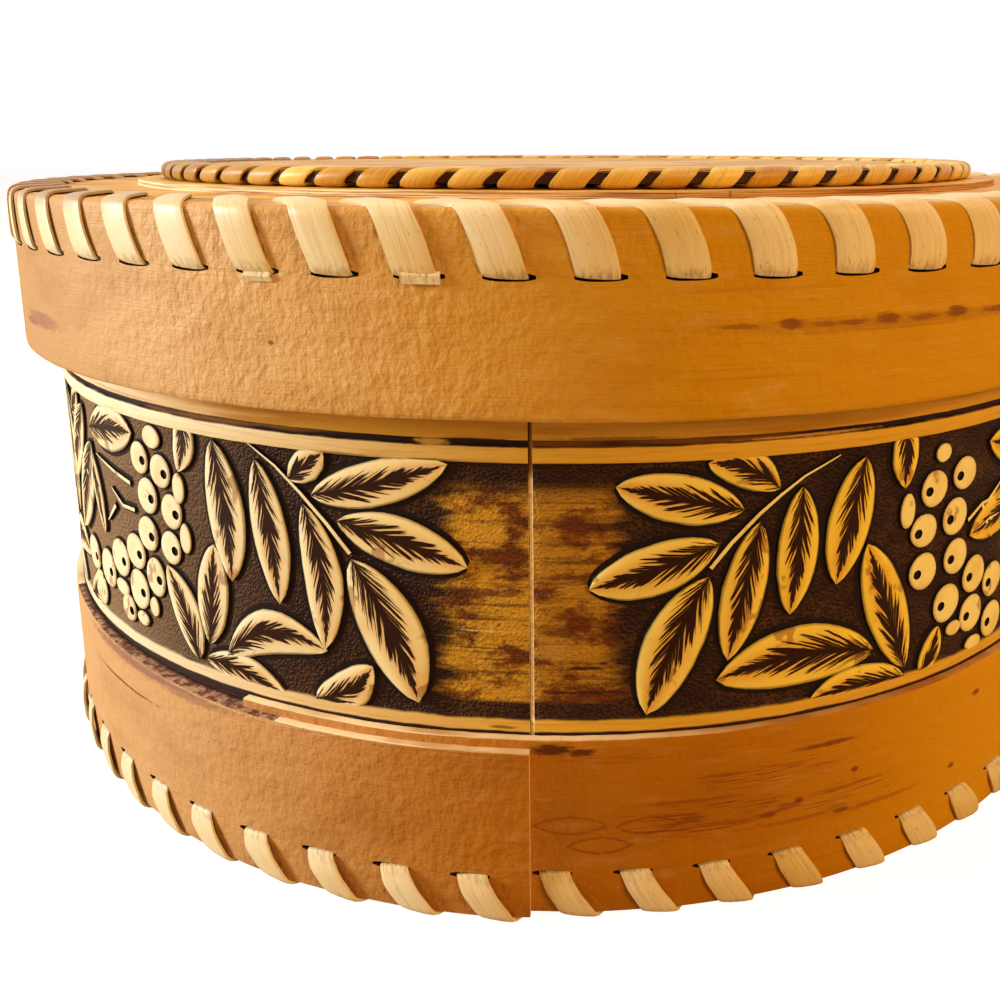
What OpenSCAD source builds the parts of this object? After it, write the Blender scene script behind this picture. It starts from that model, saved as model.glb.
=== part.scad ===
// Round birch bark box with a laced, overlapping lid. Millimetres, +Z up.
// The origin is on the ground, on the box's axis, and the front seam faces -Y.
// Angles are measured from the front: 0 is -Y, and positive turns towards +X.

/* [Body] */
// Outer radius of the carved wrap
body_r = 87.9; // [80:0.1:100]
// Height of the body's rim above the ground
body_h = 83.3; // [75:0.1:110]
// Thickness of the carved wrap
wrap_t = 1.6; // [1.3:0.1:2.5]
// Thickness of the inner tube
liner_t = 1.6; // [1:0.1:2.5]
// How far the carved wrap stops below the rim
wrap_drop = 1; // [0.5:0.1:4]
// Room left between glued layers of bark
layer_gap = 0.1; // [0.05:0.01:0.2]
// Width of the cut line where a sheet's two ends meet
seam_w = 0.3; // [0.2:0.05:0.6]

/* [Carving] */
// Height of the field that the pattern is carved in
field_h = 32.2; // [26:0.1:33]
// Height of the smooth ridge above the field
ridge_h = 1.9; // [1:0.1:2.5]
// Height of the smooth ridge that shows between the base band and the field
foot_ridge_h = 1.8; // [1:0.1:3]
// Height of the dark groove above the upper ridge
groove_h = 0.9; // [0.6:0.1:1.5]
// Depth of the field and of the groove
carve_depth = 0.5; // [0.3:0.05:0.8]

/* [Base] */
// Thickness of the base disc
base_t = 2; // [1.5:0.1:4]
// Thickness of the lining disc on the base
base_lining_t = 1.1; // [0.8:0.1:2]
// Thickness of the band round the base
band_t = 1.2; // [0.9:0.1:2]
// Height of the band round the base
band_h = 23.7; // [18:0.1:26]
// How far the band's overlapping end stops below its top
lap_drop = 1.1; // [0.5:0.1:2]
// Angle of the front seam, seen at the band's cut end
seam_a = -2.8; // [-4:0.1:-2.7]
// Angle that the band's outer end overlaps at its full thickness
lap_a = 25; // [15:1:40]
// Angle over which the overlap rises to that thickness
ramp_a = 28; // [26:1:40]

/* [Lid] */
// Height of the lid's side
skirt_h = 23.1; // [18:0.1:26]
// Thickness of the lid's outer band
lid_band_t = 1.8; // [1.2:0.1:3]
// Thickness of the lid's inner band
lid_liner_t = 1.6; // [1:0.1:3]
// Room between the lid's inner band and the carved wrap
lid_gap = 1.2; // [1:0.1:2]
// Thickness of the lid's top disc
top_t = 2; // [1.5:0.1:3]
// Thickness of the lining disc under the top
lid_lining_t = 1.2; // [0.8:0.1:2]
// Height of the lid's lining above the rim it rests on
seat_gap = 0.1; // [0.05:0.05:0.3]
// How far the inner band stops above the outer band's lower edge
liner_lift = 0.8; // [0:0.1:3]
// Bevel on the lid's edges
edge = 0.7; // [0.6:0.05:1]
// How far before the bevel the lacing starts to bend over it
bend_in = 0.2; // [0.1:0.05:0.3]

/* [Top discs] */
// Distance from the lid's edge in to the flat disc on its top
step_inset = 18.3; // [14:0.1:24]
// Thickness of that flat disc
step_t = 0.9; // [0.6:0.1:1.5]
// Distance from the flat disc's edge in to the laced disc on it
raised_inset = 4.5; // [2.5:0.1:8]
// Thickness of the laced disc
raised_t = 1.4; // [1:0.1:2.5]

/* [Lacing] */
// Thickness of the lacing strip
lace_t = 0.5; // [0.4:0.05:0.6]
// Room between the strip and the bark
lace_gap = 0.12; // [0.12:0.01:0.2]
// Spacing of the stitches along the lid's edge
rim_spacing = 9.7; // [9:0.1:14]
// Width of the strip along the lid's edge
rim_w = 4.9; // [3.5:0.1:5.2]
// Distance of the slots below the lid's top
rim_slot_z = 7.2; // [5:0.1:9]
// Distance of the top disc's slots in from the lid's edge
rim_slot_r = 7.4; // [6.5:0.1:9]
// Angle of the slot where the first lace round the lid starts
rim_a = -9.7; // [-12:0.1:-6]
// Spacing of the stitches along the base band
base_spacing = 10; // [9.5:0.1:14]
// Width of the strip along the base's edge
base_w = 4.1; // [3:0.1:4.5]
// Height of the slots above the band's lower edge
base_slot_z = 5.6; // [4.7:0.1:8]
// Distance of the base disc's slots in from the body's inside
base_slot_r = 3.2; // [2.5:0.1:5]
// Distance from the front seam to the middle of the first slot right of it
base_first = 2.6; // [2.6:0.1:5]
// Spacing of the stitches along the laced disc's edge
disc_spacing = 6.36; // [6.2:0.01:9]
// Width of the strip along the laced disc's edge
disc_w = 4.6; // [3.5:0.1:4.7]
// Distance of the laced disc's slots in from its edge
disc_slot_r = 5; // [3.5:0.1:5.5]
// Length that a slot is longer than its strip
slot_play = 0.8; // [0.5:0.1:0.9]
// Height that a slot is higher than its strip
slot_room = 0.5; // [0.4:0.05:0.8]
// Height of the trimmed lace ends that show below two of the lid's slots
tail_h = 1.1; // [0.6:0.1:2]

/* [Hidden] */
$fn = 96;

over = 1;                // what a cut runs past the face it opens
lace_off = lace_gap + lace_t / 2;   // from a bark face to the strip's middle
lace_room = 2 * lace_gap + lace_t;  // a layer that a strip runs through
rim_laces = 3;
base_laces = 4;
disc_laces = 3;

// The share of a pitch at which each slanting stitch turns over its edge
rim_turn = 0.3;
bevel_turn = 0.03;       // more or less of it where the lid's bevel ends or starts
base_turn = 0.69;
disc_turn = 0.25;
tail_every = 2;          // stitches from one trimmed end to the next

// Body and base
base_z = lace_t + lace_gap;         // the base disc and band stand on the stitches
base_top = base_z + base_t;
tube_r = body_r - wrap_t - layer_gap;
wall_r = tube_r - liner_t;          // the body's inside
band_in = body_r + layer_gap;
band_r = band_in + band_t;
band_top = base_z + band_h;
base_lining_r = wall_r - lace_room - layer_gap;
wrap_top = body_h - wrap_drop;
field_z = band_top + foot_ridge_h;
field_top = field_z + field_h;
base_slot = base_z + base_slot_z;
base_hole_r = wall_r - base_slot_r;
base_n = stitch_count(band_r, base_spacing, base_laces);
base_a = seam_a + base_first / body_r * 180 / PI;
tube_seam_a = between(base_a, base_n, 1 / 2);

// Lid
lid_in = body_r + lid_gap;
lid_liner_r = lid_in + lid_liner_t;
lid_band_in = lid_liner_r + layer_gap;
lid_r = lid_band_in + lid_band_t;
lining_z = body_h + seat_gap;
top_z = lining_z + lid_lining_t + lace_room;
lid_z = top_z + top_t;
skirt_z = lid_z - skirt_h;
lid_lining_r = lid_in - lace_room - layer_gap;
rim_slot = lid_z - rim_slot_z;
rim_hole_r = lid_r - rim_slot_r;
rim_n = stitch_count(lid_r, rim_spacing, rim_laces);
lid_seam_a = between(rim_a, rim_n, 1 / 2);
liner_seam_a = between(rim_a, rim_n, 1 / 4);
bend = edge - bend_in;

// Top discs
step_r = lid_r - step_inset;
raised_r = step_r - raised_inset;
raised_z = lid_z + step_t + lace_room;
raised_top = raised_z + raised_t;
disc_hole_r = raised_r - disc_slot_r;
disc_n = stitch_count(raised_r, disc_spacing, disc_laces);

// The stitches that fit round a radius, shared out evenly between the laces
function stitch_count(r, spacing, laces) = laces * round(2 * PI * r / spacing / laces);
// The angle midway between two slots, at about a share of the way round
function between(a0, n, share) = a0 + (floor(n * share) + 0.5) * 360 / n;
function out(a) = [sin(a), -cos(a), 0];      // away from the axis, at an angle from the front
function along(a) = [cos(a), sin(a), 0];     // round the box, to the right
function polar(r, a) = [r * sin(a), -r * cos(a)];
function clamp(v) = min(1, max(0, v));
// How far the band's overlap stands out at an angle, from none to its full thickness
function lap_rise(a) =
    a > seam_a || a < seam_a - lap_a - ramp_a ? 0
    : band_t * clamp((a - (seam_a - lap_a - ramp_a)) / ramp_a);
function front(a) = a - 360 * floor((a + 180) / 360);   // an angle between -180 and 180

// Half the strip's thickness, mitred for the corner of a closed loop of [radius, height] points
function unit(v) = v / norm(v);
function side(v) = [v[1], -v[0]];
function corner(p, i) = let (
        n = len(p),
        here = [p[i][0], p[i][1]],
        before = unit(here - [p[(i + n - 1) % n][0], p[(i + n - 1) % n][1]]),
        after = unit([p[(i + 1) % n][0], p[(i + 1) % n][1]] - here),
        mid = unit(side(before) + side(after)))
    mid * (lace_t / 2) / (mid * side(before));

// One flat strip laced through its slots. A loop's points are [radius, height, turn, lap]:
// turn is the share of a pitch reached there, lap is 1 where the strip lies on the band's
// overlap. The strip starts at point "first" of its first loop, and ends at "last" of its last.
module lace(loop, w, a0, pitch, count, first, last) {
    n = len(loop);
    stops = [for (s = [first : (count - 1) * n + last]) s];
    rings = [for (s = stops) let (
            i = s % n,
            a = a0 + pitch * (floor(s / n) + loop[i][2]),
            r = loop[i][0] + loop[i][3] * lap_rise(front(a)),
            c = corner(loop, i),
            mid = r * out(a) + [0, 0, loop[i][1]],
            t = c[0] * out(a) + [0, 0, c[1]],
            e = along(a) * w / 2)
        each [mid + e + t, mid - e + t, mid - e - t, mid + e - t]];
    m = len(stops);
    walls = [for (k = [0 : m - 2], j = [0 : 3]) let (
            p = 4 * k + j,
            q = 4 * k + (j + 1) % 4)
        each [[p, q, q + 4], [p, q + 4, p + 4]]];
    ends = [[2, 1, 0], [3, 2, 0],
        [4 * m - 4, 4 * m - 3, 4 * m - 2], [4 * m - 4, 4 * m - 2, 4 * m - 1]];
    polyhedron(rings, concat(walls, ends));
}

// Slots through a wall between two radii, evenly spaced from angle a0
module wall_slots(r_in, r_out, z, w, n, a0) {
    for (k = [0 : n - 1])
        rotate([0, 0, a0 + k * 360 / n])
            translate([-(w + slot_play) / 2, -r_out, z - (lace_t + slot_room) / 2])
                cube([w + slot_play, r_out - r_in, lace_t + slot_room]);
}

// Slots down through a disc, centred on radius r
module disc_slots(r, z, t, w, n, a0) {
    for (k = [0 : n - 1])
        rotate([0, 0, a0 + k * 360 / n])
            translate([-(w + slot_play) / 2, -r - (lace_t + slot_room) / 2, z - over])
                cube([w + slot_play, lace_t + slot_room, t + 2 * over]);
}

// The cut where a sheet's ends meet
module seam(r_in, r_out, z, h, a) {
    rotate([0, 0, a])
        translate([-seam_w / 2, -r_out - over, z - over])
            cube([seam_w, r_out - r_in + 2 * over, h + 2 * over]);
}

// A plain sheet rolled into a tube
module tube(r_in, r_out, z, h) {
    translate([0, 0, z])
        difference() {
            cylinder(r = r_out, h = h);
            translate([0, 0, -over])
                cylinder(r = r_in, h = h + 2 * over);
        }
}

// Slots through every layer of the base's wall
module base_wall_slots() {
    wall_slots(wall_r - over, band_r + band_t + over, base_slot, base_w, base_n, base_a);
}

module base_disc() {
    color("#b98545")
        difference() {
            translate([0, 0, base_z])
                cylinder(r = body_r, h = base_t);
            disc_slots(base_hole_r, base_z, base_t, base_w, base_n, base_a);
        }
}

module base_lining() {
    color("#cf9a5c")
        translate([0, 0, base_top + lace_room + layer_gap])
            cylinder(r = base_lining_r, h = base_lining_t);
}

module inner_tube() {
    color("#d6a263")
        difference() {
            tube(wall_r, tube_r, base_top, body_h - base_top);
            seam(wall_r, tube_r, base_top, body_h - base_top, tube_seam_a);
            base_wall_slots();
        }
}

// The carved sheet: plain at its foot and top, with the sunk field between two ridges
module carved_wrap() {
    low = body_r - carve_depth;
    color("#5a3a1c")
        difference() {
            rotate_extrude()
                polygon([[tube_r + layer_gap, base_top], [body_r, base_top],
                    [body_r, field_z], [low, field_z],
                    [low, field_top], [body_r, field_top],
                    [body_r, field_top + ridge_h], [low, field_top + ridge_h],
                    [low, field_top + ridge_h + groove_h],
                    [body_r, field_top + ridge_h + groove_h],
                    [body_r, wrap_top], [tube_r + layer_gap, wrap_top]]);
            seam(tube_r, body_r, base_top, wrap_top - base_top, seam_a);
            base_wall_slots();
        }
}

// One strip that goes right round and overlaps its own start left of the front seam
module base_band() {
    steps = 12;           // points along the ramp, and as many along the full overlap
    far_a = seam_a - lap_a - ramp_a;
    sunk = band_t / 4;    // the overlap runs into the band here, so the two are one strip
    rise = [for (i = [0 : steps]) polar(band_r - sunk + (band_t + sunk) * i / steps,
        far_a + ramp_a * i / steps)];
    flat = [for (i = [1 : steps]) polar(band_r + band_t, far_a + ramp_a + lap_a * i / steps)];
    under = [for (i = [0 : steps]) polar(band_r - 2 * sunk, seam_a - (lap_a + ramp_a) * i / steps)];
    color("#c98a47")
        difference() {
            union() {
                tube(band_in, band_r, base_z, band_h);
                translate([0, 0, base_z])
                    linear_extrude(band_h - lap_drop)
                        polygon(concat(rise, flat, under));
            }
            base_wall_slots();
        }
}

// The strip round the base: up through the disc, out through the wall, down over the edge
module base_lace(i) {
    foot = base_z - lace_off;
    stitches = base_n / base_laces;
    pitch = 360 / base_n;
    loop = [
        [wall_r - lace_off, base_slot, 0, 0],
        [wall_r - lace_off, base_top + lace_off, 0, 0],
        [base_hole_r, base_top + lace_off, 0, 0],
        [base_hole_r, foot, 0, 0],
        [band_r + lace_off, foot, base_turn, 1],
        [band_r + lace_off, base_slot, 1, 1]];
    color("#e8cf9a")
        lace(loop, base_w, base_a - i * stitches * pitch, -pitch, stitches, 1, 6);
}

module base_lace_a() { base_lace(0); }
module base_lace_b() { base_lace(1); }
module base_lace_c() { base_lace(2); }
module base_lace_d() { base_lace(3); }

module lid_band() {
    color("#cf9350")
        difference() {
            rotate_extrude()
                polygon([[lid_band_in, skirt_z], [lid_r - edge / 2, skirt_z],
                    [lid_r, skirt_z + edge / 2], [lid_r, lid_z - edge],
                    [lid_r - edge, lid_z], [lid_band_in, lid_z]]);
            seam(lid_band_in, lid_r, skirt_z, skirt_h, lid_seam_a);
            wall_slots(lid_in - over, lid_r + over, rim_slot, rim_w, rim_n, rim_a);
        }
}

// The inner band carries the top disc on its upper edge
module lid_inner_band() {
    low = skirt_z + liner_lift;
    color("#d9a869")
        difference() {
            tube(lid_in, lid_liner_r, low, top_z - low);
            seam(lid_in, lid_liner_r, low, top_z - low, liner_seam_a);
            wall_slots(lid_in - over, lid_r + over, rim_slot, rim_w, rim_n, rim_a);
        }
}

module lid_top() {
    color("#c9924f")
        difference() {
            translate([0, 0, top_z])
                cylinder(r = lid_liner_r, h = top_t);
            disc_slots(rim_hole_r, top_z, top_t, rim_w, rim_n, rim_a);
        }
}

module lid_lining() {
    color("#d6a263")
        translate([0, 0, lining_z])
            cylinder(r = lid_lining_r, h = lid_lining_t);
}

module step_disc() {
    color("#c08a4a")
        translate([0, 0, lid_z])
            cylinder(r = step_r, h = step_t);
}

module laced_disc() {
    color("#a9763c")
        difference() {
            translate([0, 0, raised_z])
                cylinder(r = raised_r, h = raised_t);
            disc_slots(disc_hole_r, raised_z, raised_t, disc_w, disc_n, 0);
        }
}

// The strip round the lid's edge: out through the wall, up over the edge, down through the top
module rim_lace(i) {
    stitches = rim_n / rim_laces;
    pitch = 360 / rim_n;
    loop = [
        [lid_in - lace_off, rim_slot, 0, 0],
        [lid_r + lace_off, rim_slot, 0, 0],
        [lid_r + lace_off, lid_z - bend, rim_turn - bevel_turn, 0],
        [lid_r - bend, lid_z + lace_off, rim_turn + bevel_turn, 0],
        [rim_hole_r, lid_z + lace_off, 1, 0],
        [rim_hole_r, top_z - lace_off, 1, 0],
        [lid_in - lace_off, top_z - lace_off, 1, 0]];
    color("#ead6a6")
        lace(loop, rim_w, rim_a - i * stitches * pitch, -pitch, stitches, 0, 6);
}

// A trimmed lace end, flat on the lid's side just below a slot
module tail(a) {
    color("#dcc08a")
        rotate([0, 0, a])
            translate([-rim_w / 2, -lid_r - lace_gap - lace_t,
                    rim_slot - lace_t / 2 - lace_gap - tail_h])
                cube([rim_w, lace_t, tail_h]);
}

module rim_lace_a() {
    rim_lace(0);
    tail(rim_a);
    tail(rim_a - tail_every * 360 / rim_n);
}
module rim_lace_b() { rim_lace(1); }
module rim_lace_c() { rim_lace(2); }

// The strip round the laced disc: out under it, up over its edge, down through its slots
module disc_lace(i) {
    stitches = disc_n / disc_laces;
    pitch = 360 / disc_n;
    low = raised_z - lace_off;
    high = raised_top + lace_off;
    start_r = raised_r - disc_slot_r / 3;    // a lace's first end lies under the disc
    loop = [
        [start_r, low, 0, 0],
        [raised_r + lace_off, low, 0, 0],
        [raised_r + lace_off, high, disc_turn, 0],
        [disc_hole_r, high, 1, 0],
        [disc_hole_r, low, 1, 0]];
    color("#d9b878")
        lace(loop, disc_w, i * stitches * pitch, pitch, stitches, 0, 4);
}

module disc_lace_a() { disc_lace(0); }
module disc_lace_b() { disc_lace(1); }
module disc_lace_c() { disc_lace(2); }

base_disc();
base_lining();
inner_tube();
carved_wrap();
base_band();
base_lace_a();
base_lace_b();
base_lace_c();
base_lace_d();
lid_band();
lid_inner_band();
lid_top();
lid_lining();
step_disc();
laced_disc();
rim_lace_a();
rim_lace_b();
rim_lace_c();
disc_lace_a();
disc_lace_b();
disc_lace_c();
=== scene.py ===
import math

import bmesh
import bpy
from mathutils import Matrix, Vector, noise


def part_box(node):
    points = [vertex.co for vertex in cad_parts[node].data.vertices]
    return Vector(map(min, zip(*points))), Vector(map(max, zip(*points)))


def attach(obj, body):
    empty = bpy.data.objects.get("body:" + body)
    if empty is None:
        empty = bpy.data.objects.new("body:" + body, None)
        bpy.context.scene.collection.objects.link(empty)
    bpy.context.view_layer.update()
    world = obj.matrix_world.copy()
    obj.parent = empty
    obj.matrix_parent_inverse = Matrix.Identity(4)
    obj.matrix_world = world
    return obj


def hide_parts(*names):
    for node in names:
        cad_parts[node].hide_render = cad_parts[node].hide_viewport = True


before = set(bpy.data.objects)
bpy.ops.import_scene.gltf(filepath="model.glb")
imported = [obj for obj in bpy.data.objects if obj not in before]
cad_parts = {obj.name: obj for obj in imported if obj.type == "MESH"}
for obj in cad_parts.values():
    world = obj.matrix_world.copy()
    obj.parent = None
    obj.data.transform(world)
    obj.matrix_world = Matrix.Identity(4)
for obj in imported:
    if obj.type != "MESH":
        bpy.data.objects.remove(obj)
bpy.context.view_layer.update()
print("frame loaded")

mm = 0.001
weld = 0.002 * mm   # points closer than this are one point


def lowest(node):   # a node's foot, in mm
    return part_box(node)[0].z / mm


def highest(node):   # a node's top, in mm
    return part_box(node)[1].z / mm


def radius(node):   # a round node's outer radius, in mm
    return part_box(node)[1].x / mm


bodyR = radius("carved_wrap")
bandR = radius("base_band")
lidR = radius("lid_band")
stepR = radius("step_disc")
discR = radius("laced_disc")
bodyFoot = lowest("carved_wrap")
bodyTop = highest("carved_wrap")
bandFoot = lowest("base_band")
bandTop = highest("base_band")
lidFoot = lowest("lid_band")
lidTop = highest("lid_band")
discFoot = lowest("laced_disc")
discTop = highest("laced_disc")
seamAngle = -2.8   # the front seam, in degrees from the front

view = {   # the photograph's camera
    "frame": 1000,   # pixels across
    "focal": 1099.5,   # pixels
    "centre": (566, 400),   # where the lens looks, in pixels
    "down": 13.16,   # degrees
    "back": 207.9,   # mm from the box's axis
    "height": 93.9,   # mm
}


def show(ob):
    bpy.context.scene.collection.objects.link(ob)


def makeCamera(v):
    lens = bpy.data.cameras.new("camera")
    lens.sensor_width = 36
    lens.lens = v["focal"] / v["frame"] * lens.sensor_width
    lens.shift_x = 0.5 - v["centre"][0] / v["frame"]
    lens.shift_y = v["centre"][1] / v["frame"] - 0.5
    lens.clip_start = 0.01
    camera = bpy.data.objects.new("camera", lens)
    camera.location = Vector((0, -v["back"], v["height"])) * mm
    camera.rotation_euler = (math.radians(90 - v["down"]), 0, 0)
    show(camera)
    bpy.context.scene.camera = camera


def linear(hexColour):   # sRGB hex to the linear colour that shaders take
    parts = [int(hexColour[i:i + 2], 16) / 255 for i in (1, 3, 5)]
    return [p / 12.92 if p <= 0.04045 else ((p + 0.055) / 1.055) ** 2.4 for p in parts] + [1]


def add(tree, kind, inputs=None, out=0, **settings):   # one node with its settings and links
    node = tree.nodes.new("ShaderNode" + kind)
    for key, value in settings.items():
        setattr(node, key, value)
    for socket, value in (inputs or {}).items():
        if isinstance(value, bpy.types.NodeSocket):
            tree.links.new(value, node.inputs[socket])
        else:
            node.inputs[socket].default_value = value
    return node.outputs[out] if len(node.outputs) else node


def newMaterial(name):
    material = bpy.data.materials.new(name)
    material.use_nodes = True
    material.node_tree.nodes.clear()
    return material, material.node_tree


studio = {
    "key": {"at": (-0.92, -0.14, 0.28), "size": 0.3, "power": 10.5, "colour": "#FFFFFF"},
    "side": {"at": (0.7, -0.64, 0.5), "size": 0.45, "power": 6.6, "colour": "#FFCD86"},
    "top": {"at": (0.0, 0.1, 0.8), "size": 0.8, "power": 3.0, "colour": "#FFE9CC"},
    "world": 0.16,
    "fill": "#FFD091",
    "floorGlow": 0.93,
    "floor": "#B8A68C",
}


def makeStudio(s):
    for name in ("key", "side", "top"):
        lamp = bpy.data.lights.new(name, "AREA")
        lamp.shape = "DISK"
        lamp.size = s[name]["size"]
        lamp.energy = s[name]["power"]
        lamp.color = linear(s[name]["colour"])[:3]
        ob = bpy.data.objects.new(name, lamp)
        ob.location = s[name]["at"]
        ob.rotation_euler = (Vector((0, 0, 0.04)) - ob.location).to_track_quat("-Z", "Y").to_euler()
        show(ob)

    world = bpy.data.worlds.new("studio")
    bpy.context.scene.world = world
    world.use_nodes = True
    t = world.node_tree
    t.nodes.clear()
    path = t.nodes.new("ShaderNodeLightPath")
    seen = add(t, "Math", {0: path.outputs["Is Camera Ray"], 1: path.outputs["Is Glossy Ray"]},
               operation="MAXIMUM")
    seen = add(t, "Math", {0: seen, 1: path.outputs["Is Transmission Ray"]}, operation="MAXIMUM")
    white = add(t, "Background", {0: linear("#FFFFFF"), 1: 1.0})
    soft = add(t, "Background", {0: linear(s["fill"]), 1: s["world"]})
    add(t, "OutputWorld", {0: add(t, "MixShader", {0: seen, 1: soft, 2: white})})

    bm = bmesh.new()
    bmesh.ops.create_grid(bm, x_segments=1, y_segments=1, size=4)
    mesh = bpy.data.meshes.new("floor")
    bm.to_mesh(mesh)
    bm.free()
    floor = bpy.data.objects.new("floor", mesh)
    show(floor)
    material, t = newMaterial("matt white card")
    path = t.nodes.new("ShaderNodeLightPath")
    card = add(t, "BsdfDiffuse", {0: linear(s["floor"])})
    glow = add(t, "Emission", {0: linear("#FFFFFF"), 1: s["floorGlow"]})
    both = add(t, "AddShader", {0: card, 1: glow})
    add(t, "OutputMaterial", {0: add(t, "MixShader", {0: path.outputs["Is Camera Ray"], 1: card, 2: both})})
    mesh.materials.append(material)


makeCamera(view)
makeStudio(studio)
bpy.context.scene.view_settings.view_transform = "Standard"
print("camera, lights and floor made")


def spot(r, angle, z):   # a radius and height in mm, and an angle from the front, to a point
    a = math.radians(angle)
    return Vector((r * math.sin(a), -r * math.cos(a), z)) * mm


def wobble(angle, z, size, seed=0):   # smooth noise from -1 to 1, with bumps of that size in mm
    a = math.radians(angle)
    return noise.noise((bodyR / size * math.sin(a), bodyR / size * math.cos(a), z / size + 17 * seed))


def sweep(bm, steps, corners, place, mapAt, paint, size=None):
    # a grid whose rows go along a strip and whose columns go round its section, moved into place
    made = bmesh.ops.create_grid(bm, x_segments=steps, y_segments=corners, size=0.5)["verts"]
    at = {v: (round((v.co.x + 0.5) * steps), round((v.co.y + 0.5) * corners)) for v in made}
    maps = bm.loops.layers.uv
    sheet = maps.get("Sheet") or maps.new("Sheet")
    for face in {f for v in made for f in v.link_faces}:
        i = min(at[v][0] for v in face.verts)
        k = min(at[v][1] for v in face.verts)
        face.material_index = paint(i, k)
        for loop in face.loops:
            loop[sheet].uv = mapAt(*at[loop.vert])
            if size:
                loop[maps["Size"]].uv = size
    for v, (i, k) in at.items():
        v.co = place(i, k)
    bmesh.ops.remove_doubles(bm, verts=made, dist=weld)


def capEnds(bm, index):   # closes the open ends of what was swept
    edges = [e for e in bm.edges if e.is_boundary]
    for face in bmesh.ops.holes_fill(bm, edges=edges, sides=0)["faces"]:
        face.material_index = index


def sinkSlots(bm, index, depth):   # pushes the faces painted as slots into the wall
    slots = [f for f in bm.faces if f.material_index == index]
    moved = bmesh.ops.extrude_face_region(bm, geom=slots)["geom"]
    for v in [g for g in moved if isinstance(g, bmesh.types.BMVert)]:
        share = 1 - depth * mm / v.co.xy.length
        v.co.x *= share
        v.co.y *= share
        for face in v.link_faces:
            face.material_index = index
    bmesh.ops.delete(bm, geom=[f for f in slots if f.is_valid], context="FACES_ONLY")


def makePiece(bm, name, body, materials, nodes=(), sharp=35, closed=True):
    if closed:
        bmesh.ops.recalc_face_normals(bm, faces=bm.faces)
    mesh = bpy.data.meshes.new(name)
    bm.to_mesh(mesh)
    bm.free()
    for material in materials:
        mesh.materials.append(material)
    mesh.shade_smooth()
    mesh.set_sharp_from_angle(angle=math.radians(sharp))
    piece = bpy.data.objects.new(name, mesh)
    show(piece)
    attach(piece, body)
    if nodes:
        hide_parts(*nodes)
    print("made", name, len(mesh.polygons), "faces")


def columns(cut, start, end):   # the angles of a sheet's columns: the slots' ends fall on them
    half = math.degrees(cut["width"] / 2 / cut["r"])
    pitch = 360 / cut["count"]
    found = [start, end]
    for k in range(-cut["count"], 2 * cut["count"]):
        middle = cut["first"] + k * pitch
        found += [middle - half + 2 * half * i / 8 for i in range(9)]
        found += [middle + half + (pitch - 2 * half) * i / 5 for i in range(1, 5)]
    return sorted(a for a in found if start <= a <= end)


def slotShare(cut, angle):   # 0 at a slot's middle, 1 at its ends, more outside it
    pitch = 360 / cut["count"]
    turns = (angle - cut["first"]) / pitch
    return abs(turns - round(turns)) * pitch / math.degrees(cut["width"] / 2 / cut["r"])


def inSlot(cut, angle):
    return slotShare(cut, angle) < 1


def layFinish(t, colour, roughness, height=None, depth=0.05, specular=0.15):
    inputs = {"Base Color": colour, "Roughness": roughness, "Specular IOR Level": specular, "IOR": 1.45}
    if height is not None:
        inputs["Normal"] = add(t, "Bump", {"Height": height, "Distance": depth * mm, "Strength": 1.0})
    add(t, "OutputMaterial", {0: add(t, "BsdfPrincipled", inputs)})


def onObject(t):
    return add(t, "TexCoord", out=3)


def sheetPlace(t):   # the sheet's own map: millimetres round the box and up it
    return add(t, "UVMap", uv_map="Sheet")


def grain(t, place, wide, high, seed=0.0, detail=3.0, roughness=0.55):   # noise of that grain, in mm
    spread = add(t, "Mapping", {"Vector": place, "Location": (seed * 31, seed * 17, seed * 7),
                                "Scale": (1 / wide, 1 / high, 1 / wide)})
    return add(t, "TexNoise", {"Vector": spread, "Scale": 1.0, "Detail": detail, "Roughness": roughness})


def ramp(t, value, low, high, to=(0.0, 1.0)):   # a smooth step between two values
    span = {0: value, 1: low, 2: high, 3: to[0], 4: to[1]}
    return add(t, "MapRange", span, interpolation_type="SMOOTHSTEP")


def patches(t, place, wide, high, seed, low, top, detail=3.0):   # soft-edged patches of that grain
    return ramp(t, grain(t, place, wide, high, seed, detail), low, top)


def mixed(t, factor, a, b, blend="MIX"):
    return add(t, "Mix", {0: factor, 6: a, 7: b}, 2, data_type="RGBA", blend_type=blend)


def times(t, a, b, operation="MULTIPLY"):
    return add(t, "Math", {0: a, 1: b}, operation=operation)


def absolute(t, value):
    return add(t, "Math", {0: value}, operation="ABSOLUTE")


def multiplyAdd(t, a, b, c):   # a times b, and c added
    return add(t, "Math", {0: a, 1: b, 2: c}, operation="MULTIPLY_ADD")


def between(t, factor, a, b):   # two hex colours
    return mixed(t, factor, linear(a), linear(b))


def tint(t, colour, mask, over, share=None, blend="MIX"):   # lays a hex colour on where the mask is
    if share is not None:
        mask = times(t, mask, share)
    return mixed(t, mask, colour, linear(over), blend)


def axesOf(t, vector):   # a vector's x, y and z
    node = t.nodes.new("ShaderNodeSeparateXYZ")
    t.links.new(vector, node.inputs[0])
    return node.outputs


def fromAxis(t, place):   # how far a point is from the box's axis
    level = add(t, "VectorMath", {0: place, 1: (1, 1, 0)}, operation="MULTIPLY")
    return add(t, "VectorMath", {0: level}, 1, operation="LENGTH")


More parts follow.
